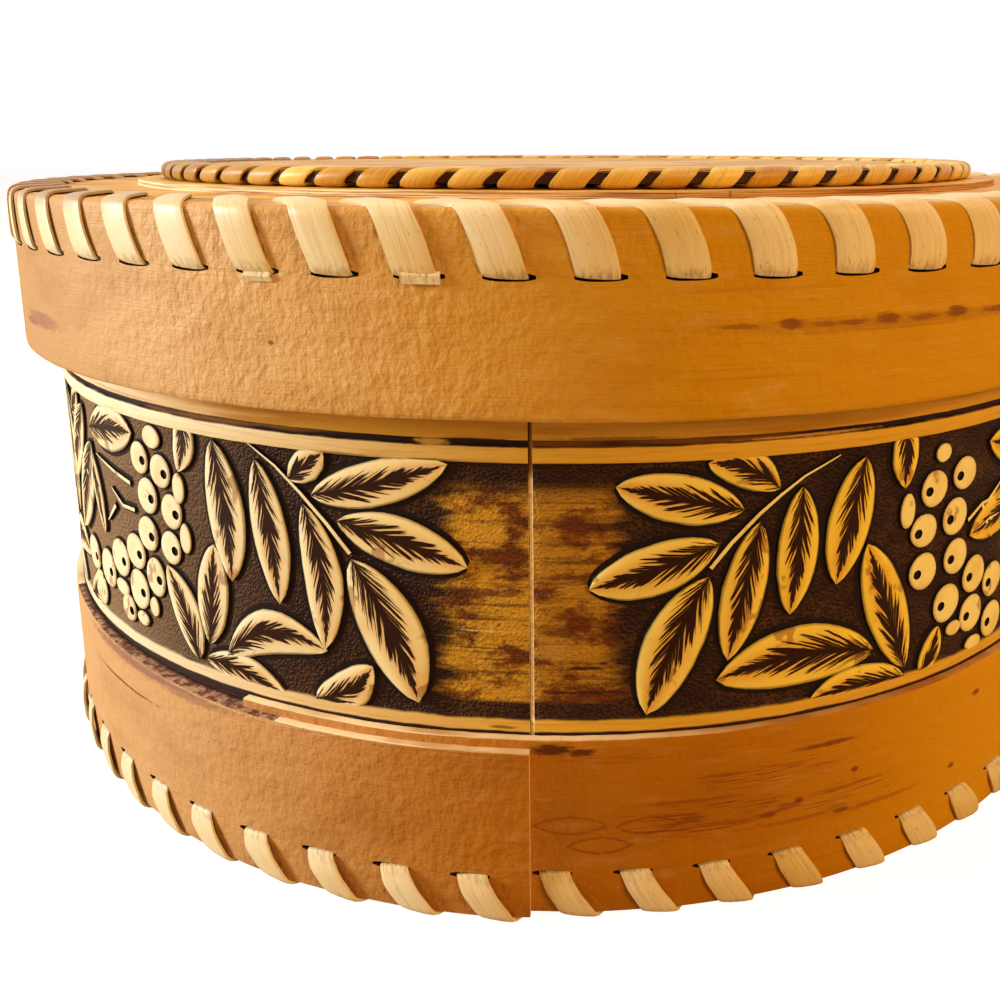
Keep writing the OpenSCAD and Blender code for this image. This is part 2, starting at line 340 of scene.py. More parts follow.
def markMask(t, place, mark, ragged):
    # one lenticel, knot or scar in the sheet's millimetres: a filled ellipse, or a lens's outline
    s, z, wide, high, strength = mark[:5]
    near = add(t, "Mapping", {"Vector": place, "Location": (-s / wide, -z / high, 0),
                              "Scale": (1 / wide, 1 / high, 0)})
    if "outline" in mark:
        axes = axesOf(t, near)
        height = absolute(t, axes[1])
        far = multiplyAdd(t, axes[0], axes[0], height)
        off = absolute(t, times(t, far, 1.0, "SUBTRACT"))
        off = multiplyAdd(t, ragged, 0.45, off)
        return times(t, ramp(t, off, 0.3, 0.44, (1, 0)), strength)
    far = add(t, "VectorMath", {0: near}, 1, operation="LENGTH")
    far = multiplyAdd(t, ragged, 1.0, far)
    return times(t, ramp(t, far, 0.9, 1.45, (1, 0)), strength)


def stainMask(t, place, marks, ragged):
    total = markMask(t, place, marks[0], ragged)
    for mark in marks[1:]:
        total = times(t, total, markMask(t, place, mark, ragged), "MAXIMUM")
    return total


def barkInside(name, look, marks):
    # the inner side of birch bark: satin, finely crumpled, peach on the left going to orange brown on the
    # right; the pale left is partly the bark's own tone and partly painted light from the left
    material, t = newMaterial(name)
    place = sheetPlace(t)
    x = axesOf(t, onObject(t))[0]
    # partly painted light: paler and less saturated towards the left, deeper orange towards the right, on top
    # of the bark's own slow change of tone
    toneAndPaintedLight = multiplyAdd(t, grain(t, place, 45, 30, 1), 40 * mm, x)
    toneAndPaintedLight = ramp(t, toneAndPaintedLight, look["shift"][0] * mm, look["shift"][1] * mm)
    colour = between(t, toneAndPaintedLight, look["pale"], look["deep"])
    blotch = patches(t, place, 16, 9, 2, 0.42, 0.72)
    colour = tint(t, colour, blotch, look["dark"], 0.3)
    streak = patches(t, place, 26, 0.7, 3, 0.5, 0.75, 4)
    flow = ramp(t, x, -10 * mm, 35 * mm, (0.1, look["flow"]))
    colour = tint(t, colour, streak, look["dark"], flow)
    light = patches(t, place, 9, 2.2, 4, 0.5, 0.8)
    colour = tint(t, colour, light, look["light"], 0.18)
    # painted shade: the far left is darker, standing for less light falling there
    colour = tint(t, colour, ramp(t, x, -85 * mm, -35 * mm, (look["side"], 0)), "#8A5630")
    # deeper orange towards the right: partly the bark's own tone, partly painted light
    colour = tint(t, colour, ramp(t, x, 15 * mm, 70 * mm), look["right"])
    ragged = grain(t, place, 1.4, 0.4, 5, 4)
    if look["scuffs"]:
        scratch = patches(t, place, 7, 0.26, 12, 0.5, 0.6, 3)
        scratch = times(t, scratch, stainMask(t, place, look["scuffs"], ragged))
        colour = tint(t, colour, scratch, "#7E3410")
    for stain, spots in marks.items():
        colour = tint(t, colour, stainMask(t, place, spots, ragged), stain)
    crumple = multiplyAdd(t, grain(t, place, 3.4, 3.6, 8, 1), 0.9, grain(t, place, 1.1, 1.4, 6, 2))
    crumple = times(t, crumple, ramp(t, x, -15 * mm, 22 * mm, look["crumple"]))
    crumple = times(t, crumple, ramp(t, x, -75 * mm, -38 * mm, (0.35, 1)))
    fibre = times(t, grain(t, place, 5, 0.22, 7, 2), 0.2)
    height = times(t, crumple, fibre, "ADD")
    layFinish(t, colour, ramp(t, blotch, 0, 1, (0.48, 0.58)), height, 0.36, 0.13)
    return material


def barkEdge(name, pale, deep, splits):
    # the knife-cut edge of birch bark: pale cream with thin brown layers, split here and there, darkened
    # towards the right by painted shade
    material, t = newMaterial(name)
    place = sheetPlace(t)
    layer = patches(t, place, 18, 0.28, 1, 0.42, 0.7, 3)
    colour = between(t, layer, pale, deep)
    x = axesOf(t, onObject(t))[0]
    # painted shade: darker towards the right
    colour = tint(t, colour, ramp(t, x, -30 * mm, 40 * mm, (0, 0.8)), "#C49040", blend="MULTIPLY")
    split = patches(t, place, 1.1, 9, 2, 0.66, 0.72, 2)
    colour = tint(t, colour, split, "#3A1C0A", splits)
    layFinish(t, colour, 0.7, layer, 0.05)
    return material


def barkPared():
    # a slanted fresh cut through the sheet
    material, t = newMaterial("pared birch bark")
    place = onObject(t)
    z = axesOf(t, place)[2]
    speck = grain(t, place, 0.6 * mm, 3 * mm, 1)
    colour = between(t, ramp(t, speck, 0.4, 0.7), "#FFF0C8", "#F0C886")
    colour = tint(t, colour, ramp(t, z, 56 * mm, 57.5 * mm), "#A8763A")
    layFinish(t, colour, 0.6, speck, 0.05)
    return material


def barkPeeled():
    # where a layer was torn off: a matt greyish brown, with painted shade next to the carved wrap
    material, t = newMaterial("peeled birch bark")
    place = onObject(t)
    layer = grain(t, place, 1.3 * mm, 1.3 * mm, 1, 5, 0.65)
    colour = between(t, ramp(t, layer, 0.42, 0.6), "#6A4438", "#BC9478")
    paintedShadeByWrap = ramp(t, fromAxis(t, place), (bodyR + 0.1) * mm, (bodyR + 0.9) * mm, (0.85, 0))
    colour = tint(t, colour, paintedShadeByWrap, "#20100A")
    layFinish(t, colour, 0.8, layer, 0.15)
    return material


def slotShade():
    # the cut wall of a slot: painted shade, near-black brown so the slot reads dark
    material, t = newMaterial("slot cut in birch bark")
    place = onObject(t)
    dark = grain(t, place, 0.5 * mm, 0.5 * mm, 1)
    layFinish(t, between(t, dark, "#1E0A03", "#4A1E0A"), 0.85)
    return material


def bastStrip(name, look):
    # split bast: a smooth straw-coloured strip with its fibres along it, satin, soiled at the slots; a
    # painted sheen whitens it at the left and painted shade darkens its top runs at the left
    material, t = newMaterial(name)
    place = sheetPlace(t)
    tone = patches(t, place, 19, 60, 1, 0.4, 0.62, 1)
    colour = between(t, tone, look["pale"], look["deep"])
    streak = patches(t, place, 9, 0.45, 2, 0.46, 0.74, 4)
    colour = tint(t, colour, streak, look["dark"], 0.26)
    pale = patches(t, place, 9, 0.5, 3, 0.5, 0.8, 3)
    colour = tint(t, colour, pale, look["light"], 0.5)
    axes = axesOf(t, onObject(t))
    # painted sheen: the strips turn whiter towards the left
    white = ramp(t, axes[0], -65 * mm, -15 * mm, (look["white"], 0))
    colour = tint(t, colour, white, "#F4E2B4")
    # painted shade: the runs over the top of the lid and the disc's strips are darker towards the left
    over = ramp(t, axes[2], 85.2 * mm, 87.6 * mm)
    over = times(t, over, ramp(t, axes[0], -68 * mm, -35 * mm, (look["over"], 0)))
    colour = tint(t, colour, over, "#8A5624")
    fleck = patches(t, place, 1.3, 0.4, 4, 0.64, 0.76, 2)
    colour = tint(t, colour, fleck, "#7C4E20", 0.5)
    for slot in look["slots"]:
        off = absolute(t, times(t, axes[2], slot * mm, "SUBTRACT"))
        near = ramp(t, off, 0.1 * mm, 1.5 * mm, (1, 0))
        soil = times(t, near, patches(t, place, 1.2, 0.5, 5, 0.4, 0.7, 3))
        colour = tint(t, colour, soil, "#7A4A1C", 0.5)
    height = multiplyAdd(t, streak, 0.5, grain(t, place, 5, 0.2, 6, 2))
    layFinish(t, colour, 0.4, height, 0.03, 0.4)
    return material


def stainAndShade():
    # near black round the carving: partly the stained field's colour, partly painted shade on the relief's
    # walls and pits and in the dark halo of its skirts
    material, t = newMaterial("scorched birch bark")
    place = onObject(t)
    speck = grain(t, place, 0.4 * mm, 0.4 * mm, 1)
    layFinish(t, between(t, ramp(t, speck, 0.5, 0.8), "#180901", "#381C08"), 0.6)
    return material


def paleRim(t, golden):   # the uncut bark between the carved lines: cream at the left, golden at the right, partly its own tone and partly painted light from the left
    place = onObject(t)
    x = axesOf(t, place)[0]
    paintedLightToWarm = ramp(t, x, -50 * mm, 35 * mm)
    colour = between(t, paintedLightToWarm, "#F8EABC", golden)
    cloud = patches(t, place, 5 * mm, 3 * mm, 2, 0.45, 0.75)
    colour = tint(t, colour, cloud, "#DCA438", 0.35)
    stain = patches(t, place, 5 * mm, 2.5 * mm, 5, 0.61, 0.66, 3)
    return tint(t, colour, stain, "#A0602C", 0.62), place


def leafFace():
    # a carved leaf: its rim is uncut bark, and feathered strokes are burnt in along its midrib
    material, t = newMaterial("carved birch bark leaf")
    colour = paleRim(t, "#FFDF58")[0]
    blade = axesOf(t, add(t, "UVMap", uv_map="Sheet"))
    size = axesOf(t, add(t, "UVMap", uv_map="Size"))
    share, across = blade[0], blade[1]
    out = absolute(t, across)
    along = times(t, share, size[0])
    stray = times(t, times(t, out, size[1]), -1.1)
    phase = times(t, along, stray, "ADD")
    phase = multiplyAdd(t, add(t, "Math", {0: across}, operation="SIGN"), 7.3, phase)
    phase = multiplyAdd(t, size[0], 13.7, phase)
    line = add(t, "CombineXYZ", {0: phase})
    stroke = ramp(t, grain(t, line, 1.3, 1, 1, 2), 0.32, 0.66)
    slit = grain(t, line, 0.85, 1, 2, 0)
    taper = add(t, "Math", {0: share, 1: 2.6}, operation="POWER")
    taper = times(t, 1.0, taper, "SUBTRACT")
    reach = times(t, taper, multiplyAdd(t, stroke, 0.6, 0.25))
    dark = ramp(t, times(t, reach, out, "SUBTRACT"), -0.03, 0.04)
    pale = times(t, ramp(t, slit, 0.54, 0.59), ramp(t, out, 0.08, 0.2))
    dark = times(t, dark, times(t, 1.0, pale, "SUBTRACT"))
    # painted shade: the leaf's outer edge is darker where it rounds down to the field
    rim = times(t, ramp(t, out, 0.88, 1.0), 0.6)
    dark = times(t, dark, rim, "MAXIMUM")
    base = ramp(t, share, 0.0, 0.05, (0.8, 0.0))
    dark = times(t, dark, base, "MAXIMUM")
    inner = times(t, ramp(t, out, 0.25, 0.8, (1, 0)), 0.55)
    colour = tint(t, colour, inner, "#E2AE6C", blend="MULTIPLY")
    height = times(t, 1.0, dark, "SUBTRACT")
    layFinish(t, mixed(t, dark, colour, linear("#2C1204")), 0.5, height, 0.2)
    return material


def berryFace():
    # a carved berry: a flat oval of uncut bark, with painted shade round its edge
    material, t = newMaterial("carved birch bark berry")
    colour, place = paleRim(t, "#FFF0A4")
    ring = axesOf(t, sheetPlace(t))[1]
    # painted shade: darker towards the berry's rounded edge
    colour = tint(t, colour, ramp(t, ring, 3.4, 5, (0, 0.5)), "#A06424")
    layFinish(t, colour, 0.5, grain(t, place, 1 * mm, 1 * mm, 3), 0.04)
    return material


carving = {
    "depth": 0.5,   # mm, how deep the field lies
    "field": (26.1, 58.3),   # mm, heights of its foot and top
    "ridge": 60.2,   # mm, top of the ridge above it
    "groove": 61.1,   # mm, top of the dark groove above that
    "foot": 24.7,   # mm, the lower ridge's lower edge, below which a painted shadow darkens the sheet
    "patch": 10,   # mm, half of the plain patch at the seam
    "pits": 2.4,   # stipple pits in a mm
    "purple": [   # marks: distance from the seam, height, half length, half height in mm, strength
        (546, 42.2, 6, 0.8, 0.8), (4.7, 50.9, 3.8, 0.7, 0.7), (3.4, 37.4, 3.4, 0.7, 0.8),
        (8, 50.5, 4, 0.7, 0.5),
    ],
    "pale": [(2.7, 34.8, 2.4, 1.6, 0.5)],
    "lines": [
        (6, 29.6, 5.8, 0.25, 0.8), (546, 35.2, 5, 0.2, 0.6), (6.5, 32.8, 2.8, 0.3, 0.8),
        (8.8, 33.4, 0.8, 0.3, 0.8), (545, 38.9, 6, 0.15, 0.6), (4, 46.3, 4, 0.18, 0.6),
    ],
    "wornAndShaded": [(541, 60.6, 2.6, 0.7, 0.9), (34, 60.4, 12, 0.25, 0.8)],
    # dark marks along the ridges' and the groove's edges; those under the upper ridge at 58.5 mm are painted
    # shadow
    "darkEdgesAndShadow": [
        (546, 61.0, 5.5, 0.4, 0.8), (541, 58.5, 4, 0.25, 0.7), (10, 61.3, 9, 0.3, 0.6),
        (530, 58.5, 6, 0.2, 0.6), (549, 25.2, 2.4, 0.3, 0.7), (500, 60.9, 22, 0.4, 0.6),
    ],
    "crack": [(546, 37.4, 7, 0.14, 0.8)],
}


def carvedSheet(c):
    # birch bark with a stained, stippled field, two smooth ridges and a plain patch at the seam
    low, top = c["field"]
    material, t = newMaterial("carved birch bark")
    place = sheetPlace(t)
    axes = axesOf(t, place)
    s, z = axes[0], axes[1]
    ragged = multiplyAdd(t, grain(t, place, 5, 30, 1, 4), 0.35, -0.17)
    zr = times(t, z, ragged, "ADD")

    x = axesOf(t, onObject(t))[0]
    # partly painted light: the ridges are cream at the left and golden at the right
    paintedLightToWarm = ramp(t, x, -70 * mm, 5 * mm)
    ridge = between(t, paintedLightToWarm, "#FFF0C6", "#E2B038")
    ridge = tint(t, ridge, patches(t, place, 9, 0.5, 2, 0.45, 0.75, 4), "#A87038", 0.35)
    # painted light: the margin just under the lid is pale cream at the left, against the lid's shadow
    margin = between(t, ramp(t, x, -80 * mm, -25 * mm), "#FFF2D0", "#DCA43A")
    margin = tint(t, margin, patches(t, place, 22, 1.2, 3, 0.4, 0.7, 4), "#B8780F", 0.7)

    stipple = add(t, "TexVoronoi", {"Vector": place, "Scale": c["pits"], "Randomness": 1.0})
    pit = ramp(t, stipple, 0.25, 0.75)
    # painted light: the field is paler at the far left
    lighter = ramp(t, x, -82 * mm, -30 * mm, (1.0, 0.0))
    cloud = times(t, patches(t, place, 7, 5, 4, 0.35, 0.7), lighter, "MAXIMUM")
    field = between(t, times(t, pit, cloud), "#281003", "#4E2E10")
    field = tint(t, field, lighter, "#A8845C", 0.8)

    blot = grain(t, place, 7, 4, 5, 6, 0.66)
    level = grain(t, place, 18, 0.7, 6, 4)
    plain = between(t, ramp(t, blot, 0.4, 0.55), "#6A3408", "#D29C2C")
    plain = tint(t, plain, ramp(t, level, 0.48, 0.66), "#4A240A", 0.6)
    fine = grain(t, place, 0.8, 0.5, 11, 3)
    plain = tint(t, plain, ramp(t, fine, 0.56, 0.68), "#4A2408", 0.6)
    right = ramp(t, s, 200, 201, (1, 0))
    plain = tint(t, plain, right, "#7A3A04", 0.3)
    edge = grain(t, place, 1.2, 0.5, 9, 3)
    stains = {"pale": "#C8924A", "purple": "#5E2C16", "lines": "#2A1006", "crack": "#E8C890"}
    for marks, stain in stains.items():
        plain = tint(t, plain, stainMask(t, place, c[marks], edge), stain)

    away = times(t, s, math.pi * bodyR, "PINGPONG")
    away = multiplyAdd(t, grain(t, place, 9, 1.6, 8, 3), 9.0, away)
    nearSeam = ramp(t, away, c["patch"] + 2.6, c["patch"] + 6.2, (1, 0))
    under = times(t, ramp(t, z, top - 5, top - 2, (1, 0)), ramp(t, zr, low + 1.9, low + 2.7))
    colour = mixed(t, times(t, nearSeam, under), field, plain)

    lowRidge = ramp(t, zr, low - 0.12, low + 0.12, (1, 0))
    # painted shade: the lower ridge is a little browner at the left
    wornAndShaded = tint(t, ridge, ramp(t, x, -30 * mm, 10 * mm, (0.2, 0)), "#A87840")
    colour = mixed(t, lowRidge, colour, wornAndShaded)
    # painted shadow: a dark line below the lower ridge, where the sheet meets the base band's top
    colour = tint(t, colour, ramp(t, zr, c["foot"] - 0.1, c["foot"] + 0.15, (1, 0)), "#2C1004")
    faded = times(t, patches(t, place, 26, 3, 10, 0.5, 0.62, 2), 0.6)
    groove = between(t, faded, "#24100A", "#96601E")
    for start, over in ((top, ridge), (c["ridge"], groove)):
        colour = mixed(t, ramp(t, zr, start - 0.1, start + 0.1), colour, over)
    colour = mixed(t, ramp(t, zr, c["groove"] - 0.2, c["groove"] + 0.1), colour, margin)
    # worn marks, then dark marks along the edges, partly painted shadow
    for marks, stain in (("wornAndShaded", "#DCA850"), ("darkEdgesAndShadow", "#3A1E08")):
        colour = tint(t, colour, stainMask(t, place, c[marks], edge), stain)

    inField = times(t, ramp(t, z, low, low + 0.3), ramp(t, z, top - 0.3, top, (1, 0)))
    bumps = times(t, times(t, pit, inField), -1.0)
    height = times(t, bumps, times(t, grain(t, place, 3, 0.4, 9, 3), 0.5), "ADD")
    layFinish(t, colour, 0.5, height, 0.12)
    return material


bark = {
    "edge": barkEdge("cut birch bark edge", "#FFECC0", "#CC9654", 0.2),
    "paleEdge": barkEdge("pale cut birch bark edge", "#FFEABC", "#B07834", 0.8),
    "peeled": barkPeeled(),
    "pale": barkPared(),
    "slot": slotShade(),
    "dark": stainAndShade(),
    "leaf": leafFace(),
    "berry": berryFace(),
    "carved": carvedSheet(carving),
}
bark["strip"] = bastStrip("split bast strip", {
    "pale": "#F6E2B2", "deep": "#E6C47A", "dark": "#A87834", "light": "#FFF4D6", "white": 0.9,
    "slots": (80.2, 6.3), "over": 0.7,
})
bark["thread"] = bastStrip("split bast strip, darkened", {
    "pale": "#F0CC60", "deep": "#C4880C", "dark": "#8A5410", "light": "#F4DC8C", "white": 0.1,
    "slots": (), "over": 0.85,
})

lidLook = {
    "pale": "#E4B67A", "deep": "#D4980C", "dark": "#AC680C", "light": "#F2CE92",
    "shift": (-40, 40), "flow": 0.45, "crumple": (1.0, 0.4), "side": 0.45, "right": "#D69A10",
    "scuffs": [],
}
lidMarks = {   # a stain's colour: mm from the front and up, half length and half height in mm, strength
    "#7A3E18": [
        (19, 74.6, 3.2, 0.45, 0.6), (25, 74.7, 2.2, 0.9, 0.85), (29, 74.5, 2.2, 0.5, 0.6),
        (32.6, 74.5, 2.6, 0.5, 0.7), (37.3, 74.7, 2.3, 0.9, 0.85), (42.6, 74.5, 3, 0.55, 0.7),
        (47.8, 74.8, 2.4, 0.9, 0.9), (56, 74.6, 5.4, 0.6, 0.75), (66, 74.6, 4.4, 0.6, 0.7),
        (-33.8, 72.1, 0.6, 0.4, 0.8),
    ],
    "#8E5A4C": [(-83, 70.2, 10, 1.6, 0.6), (-88, 69.4, 6, 0.8, 0.7)],
    "#9C5C1C": [
        (40, 74.4, 34, 1.1, 0.4), (36, 73.6, 20, 0.25, 0.4), (120, 75, 12, 0.4, 0.5),
        (-150, 70, 14, 0.5, 0.5), (170, 82, 10, 0.4, 0.5), (230, 70, 16, 0.5, 0.5), (-220, 76, 12, 0.5, 0.5),
    ],
}
bark["lid"] = barkInside("birch bark, lid band", lidLook, lidMarks)

bandLook = {
    "pale": "#DCAC74", "deep": "#B87200", "dark": "#94540A", "light": "#EAC080",
    "shift": (-50, 30), "flow": 0.4, "crumple": (0.9, 0.4), "side": 0.1, "right": "#E0A00C",
    "scuffs": [
        (22, 12.6, 15, 3.2, 0.75), (30, 17.6, 13, 2.4, 0.6), (42, 12, 10, 3.4, 0.5),
        (9, 21.6, 9, 0.9, 0.4),
    ],
}
bandMarks = {   # the same, measured from the seam
    "#5A2408": [(2.6, 23.1, 3.8, 1.1, 0.95), (6.2, 22.7, 2.4, 0.7, 0.9)],
    "#8A3C14": [
        (4.9, 12.8, 4.5, 1.15, 0.5, "outline"), (14.5, 12.5, 4, 1.05, 0.6, "outline"),
        (8.5, 10, 4, 1.05, 0.6, "outline"), (19.5, 15.3, 10, 0.4, 0.5),
        (24, 11.8, 6.5, 0.5, 0.5), (24, 18.4, 6, 0.3, 0.4), (41, 13.5, 6.5, 0.4, 0.45),
        (33, 12.6, 3, 0.6, 0.6), (34, 10.4, 9, 0.4, 0.4), (47, 9.9, 10, 0.5, 0.4),
        (120, 14, 12, 0.5, 0.5), (180, 18, 10, 0.4, 0.5), (240, 9, 12, 0.5, 0.5),
        (290, 16, 14, 0.5, 0.5), (360, 12, 10, 0.5, 0.5),
    ],
    "#6E3010": [
        (42.6, 15.6, 0.8, 0.6, 0.8), (61.2, 10.4, 0.9, 0.6, 0.8), (34.3, 13.2, 0.9, 0.6, 0.8),
        (40.9, 10.2, 1.4, 0.6, 0.7), (65.8, 19.9, 1.2, 0.6, 0.8), (494, 18.4, 14, 0.3, 0.8),
        (38, 20.2, 6.5, 0.5, 0.75), (20, 13, 2, 0.7, 0.5), (30, 11.9, 1.6, 0.6, 0.7),
    ],
    "#946A58": [(500, 23.2, 26, 1.5, 0.85), (512, 22.6, 12, 1.2, 0.6)],
    "#EBD2A0": [(527, 23.5, 7, 0.45, 0.9), (534, 22.9, 3, 0.3, 0.8)],
}
bark["band"] = barkInside("birch bark, base band", bandLook, bandMarks)
print("materials made")

lacing = {   # every strip, in mm where no other unit is given
    "thickness": 0.42,
    "crown": 0.08,   # how far the middle of its face stands out
    "round": 0.7,   # how far before a slot the strip starts to turn
    "turnShare": 0.42,   # that distance is at most this share of the run
    "wander": 0.16,   # sideways
    "uneven": 0.08,   # share of the width
    "stray": 0.04,   # share of the spacing
    "gap": 0.32,   # from a bark face to the middle of a strip
}


def lacePath(stops, first, pitch, count, begin, end, rise):
    # the middle line of one strip through all its slots, with rounded turns:
    # [radius, height, angle, share of the width]
    n = len(stops)
    knots = []
    for step in range(begin, (count - 1) * n + end + 1):
        r, z, turn, wide, lapped = stops[step % n]
        stray = lacing["stray"] * noise.noise((step // n * 7.3, first, 0)) * (turn % 1 != 0)
        angle = first + pitch * (step // n + turn + stray)
        knots.append((r + lapped * rise(angle), z, angle, wide))
    path = [knots[0]]
    for a, b, c in zip(knots, knots[1:], knots[2:]):
        near = blend(b, a)
        far = blend(b, c)
        path += [near, tuple(b[j] * 0.5 + (near[j] + far[j]) * 0.25 for j in range(4)), far]
    path.append(knots[-1])
    return path


def blend(b, other):   # a point a little way from a turn towards the next one
    reach = (spot(*swap(b)) - spot(*swap(other))).length / mm
    share = min(lacing["turnShare"], lacing["round"] / max(reach, 0.01))
    return tuple(b[j] + (other[j] - b[j]) * share for j in range(4))


def swap(knot):   # [radius, height, angle] to the order that spot takes
    return knot[0], knot[2], knot[1]


def strip(bm, path, width, shift=0.0, tilt=0.0):
    # one flat strip along a path, with a slightly crowned outer face; tilt lifts its right edge
    points = [spot(*swap(p)) for p in path]
    run = [0.0]
    for a, b in zip(points, points[1:]):
        run.append(run[-1] + (b - a).length / mm)
    t, crown = lacing["thickness"] / 2, lacing["crown"]
    section = [   # share of the width, mm above the middle
        (-0.5, -t), (-0.5, t - 0.1), (-0.42, t), (-0.2, t + crown), (0.2, t + crown), (0.42, t),
        (0.5, t - 0.1), (0.5, -t), (-0.5, -t),
    ]

    def place(i, k):
        before, after = points[max(i - 1, 0)], points[min(i + 1, len(points) - 1)]
        angle = math.radians(path[i][2])
        along = Vector((math.cos(angle), math.sin(angle), 0))
        up = along.cross((after - before).normalized()).normalized()
        uneven = 1 + lacing["uneven"] * noise.noise((run[i] / 9, width, 3.0))
        side = section[k][0] * width * path[i][3] * uneven
        side += shift + lacing["wander"] * noise.noise((run[i] / 6, width, 8.0))
        return points[i] + (along * side + up * (section[k][1] + tilt * section[k][0])) * mm

    def mapAt(i, k):
        return run[i], section[k][0] * width + (9 if section[k][1] < 0 else 0)

    sweep(bm, len(points) - 1, len(section) - 1, place, mapAt, lambda i, k: 0)


def more(path, longest):   # adds points on long runs
    found = [path[0]]
    for a, b in zip(path, path[1:]):
        reach = (spot(*swap(a)) - spot(*swap(b))).length / mm
        parts = max(1, math.ceil(reach / longest))
        found += [tuple(a[j] + (b[j] - a[j]) * i / parts for j in range(4)) for i in range(1, parts + 1)]
    return found


def bow(path, low, high, size, swell=0.0):
    # bends the outer runs sideways and widens them, more on the box's left and right
    found = []
    for r, z, angle, wide in path:
        share = (z - low) / (high - low)
        full = math.sin(math.pi * min(max(share, 0), 1))
        beside = math.sin(math.radians(angle))
        found.append((r, z, angle + size * full * beside, wide * (1 + swell * full * abs(beside))))
    return found


def flat(angle):   # for strips that cross no overlap
    return 0.0


gap = lacing["gap"]
rim = {
    "count": 60, "first": -9.7,   # slots, and the first one's angle
    "width": 5.7, "height": 0.95, "r": lidR,   # mm, a slot's size and the radius it is cut at
    "strips": 3, "way": -1, "strip": 4.9,   # how many, the way round, and their width in mm
    "shift": -0.35, "tilt": 0.28, "step": 1.6,   # mm sideways, lift of one edge, and between points
    "bow": 0.85, "swell": 0,   # degrees, and share of the width added in the middle of a run
}
base = {
    "count": 56, "first": -1.1, "width": 4.9, "height": 0.8, "r": bandR,
    "strips": 4, "way": -1, "strip": 4.2, "shift": 0.25, "tilt": 0.4, "step": 1.6, "bow": 0.4, "swell": 0.3,
}
disc = {
    "count": 69, "first": 0,
    "strips": 3, "way": 1, "strip": 4.6, "shift": 0, "tilt": 0, "step": 2.2, "bow": 0, "swell": 0,
}
rimZ = lidTop - 7.2   # mm, the slots' height
baseZ = bandFoot + 5.6
foot = 0.43   # mm, the middle of the strips that the box stands on
discLow, discHigh = discFoot - 0.37, discTop + gap
lidInside = radius("lid_lining") + 0.42   # mm, where the strips run down inside the lid band
lidUnder = highest("lid_lining") + 0.37
rimHoles = lidR - 7.4
floorTop = highest("base_disc")
wallIn = radius("base_lining") + 0.47
baseHoles = wallIn - 2.83
discHoles = discR - 5
lap = {   # the base band's overlap
    "full": 25, "ramp": 28,   # degrees at its full height, and on the way up to it
    "drop": 1.1, "thickness": 1.2, "slotDepth": 0.9,   # mm
}


def lapRise(angle):   # how far the base band's overlap stands out at an angle
    a = (angle + 180) % 360 - 180
    if a > seamAngle + 0.01 or a < seamAngle - lap["full"] - lap["ramp"]:
        return 0.0
    return lap["thickness"] * min(1.0, (a - seamAngle + lap["full"] + lap["ramp"]) / lap["ramp"])


rimStops = [   # radius, height, share of the way to the next slot, share of the width, on the overlap
    (lidInside, rimZ, 0, 1, 0), (lidR + 0.05, rimZ - 0.05, 0, 0.97, 0),
    (lidR + 0.24, rimZ + 1, 0.02, 1, 0), (lidR + 0.26, rimZ + 3.5, 0.09, 1, 0),
    (lidR + 0.22, lidTop - 1.6, 0.18, 1, 0),
    (lidR + 0.05, lidTop - 0.4, 0.25, 1, 0), (lidR - 0.5, lidTop + 0.12, 0.31, 1, 0),
    (lidR - 1.4, lidTop + gap, 0.37, 1, 0), (rimHoles, lidTop + gap, 1, 1, 0),
    (rimHoles, lidUnder, 1, 1, 0), (lidInside, lidUnder, 1, 1, 0),
]
baseStops = [
    (wallIn, baseZ, 0, 1, 0), (wallIn, floorTop + 0.4, 0, 1, 0), (baseHoles, floorTop + 0.4, 0, 1, 0),
    (baseHoles, foot, 0, 1, 0), (bandR, foot, 0.67, 1.05, 1), (bandR + 0.5, foot + 0.6, 0.71, 1.05, 1),
    (bandR + 0.62, baseZ - 2.4, 0.89, 1, 1), (bandR + 0.15, baseZ + 0.05, 0.999, 0.9, 1),
]
discStops = [
    (discR - 1.7, discLow, 0, 1, 0), (discR + 0.1, discLow, 0, 0.95, 0),
    (discR + 0.45, discLow + 0.7, 0.06, 1.02, 0), (discR + 0.4, discHigh - 0.5, 0.2, 1.02, 0),
    (discR - 0.4, discHigh, 0.28, 1, 0),
    (discHoles, discHigh, 1, 0.9, 0), (discHoles, discLow, 1, 1, 0),
]
trimmed = ((0, 0.3, 0.35, 0.8, 4.5), (12, 0.05, -0.3, 1.05, 3.6))   # degrees back; mm out, up and down; width


def trimmedEnd(bm, back, turned, up, drop, width):
    a = rim["first"] - back
    z = rimZ
    end = [(lidR - 0.6, z + up - 0.05, a, 1), (lidR + 0.2, z + up, a, 1),
           (lidR + 0.34, z + up - 0.25, a, 1), (lidR + turned, z - drop, a + 0.1, 0.95)]
    strip(bm, more(end, 0.6), width, 0.1)


def makeLaces(edge, body, finish, cut, stops, begin, end, rise, low, high):
    # the strips round one edge, which share its stitches
    turn = cut["way"] * 360
    for i in range(cut["strips"]):
        bm = bmesh.new()
        path = lacePath(stops, cut["first"] + turn * i / cut["strips"], turn / cut["count"],
                        cut["count"] // cut["strips"], begin, end, rise)
        path = bow(more(path, cut["step"]), low, high, cut["bow"], cut["swell"])
        strip(bm, path, cut["strip"], cut["shift"], cut["tilt"])
        if cut is rim and i == 0:
            for values in trimmed:
                trimmedEnd(bm, *values)
        capEnds(bm, 0)
        letter = "abcd"[i]
        name = edge + "Lace" + letter.upper()
        makePiece(bm, name, body, [bark[finish]], [edge + "_lace_" + letter])


makeLaces("rim", "lid", "strip", rim, rimStops, 0, 10, flat, rimZ, lidTop + gap)
makeLaces("base", "box", "strip", base, baseStops, 1, 8, lapRise, foot, baseZ)
makeLaces("disc", "lid", "thread", disc, discStops, 0, 6, flat, discLow, discHigh)
print("strips made")

lidSheet = {"thickness": 1.8, "slotDepth": 1.3, "sway": 0.1, "waver": 0.22}   # mm


